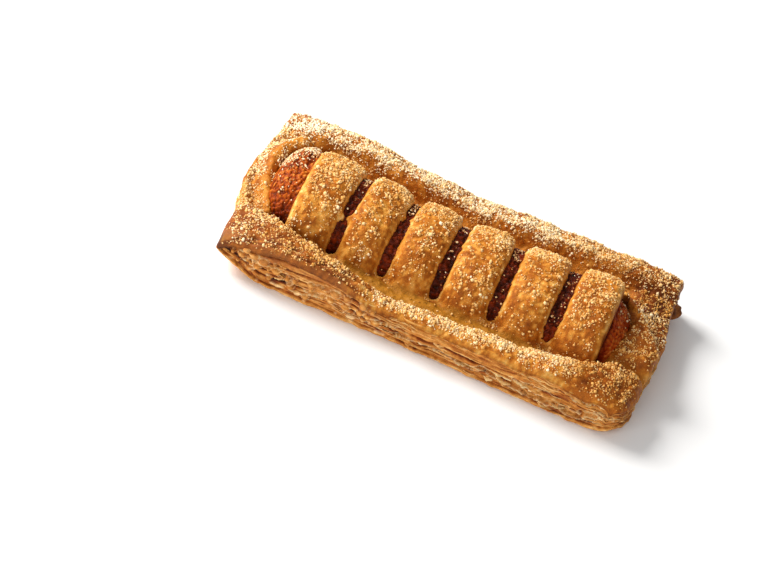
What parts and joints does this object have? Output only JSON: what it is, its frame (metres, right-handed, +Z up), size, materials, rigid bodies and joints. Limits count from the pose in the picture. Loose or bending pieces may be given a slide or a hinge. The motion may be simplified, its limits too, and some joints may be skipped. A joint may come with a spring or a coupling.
{
  "type": "savoury puff pastry roll",
  "caption": "Baked puff pastry parcel with a long meat filling showing through slits cut across its domed lid.",
  "frame": {"origin": "middle of the footprint, on the surface the roll rests on", "axes": "+X along the roll from its wide end opening to its narrow one, +Y across it, +Z up"},
  "size_m": [0.164, 0.0794, 0.031],
  "materials": {
    "pale_pastry": "dry, pale golden baked dough underside with browner patches",
    "golden_pastry": "golden brown baked puff pastry with a soft egg glaze and fine crumbs",
    "spiced_meat": "moist, coarse minced meat, orange red to dark maroon"
  },
  "bodies": {
    "root": {"base_sheet": "pale_pastry", "top_sheet": "golden_pastry", "filling": "spiced_meat"}
  },
  "joints": []
}
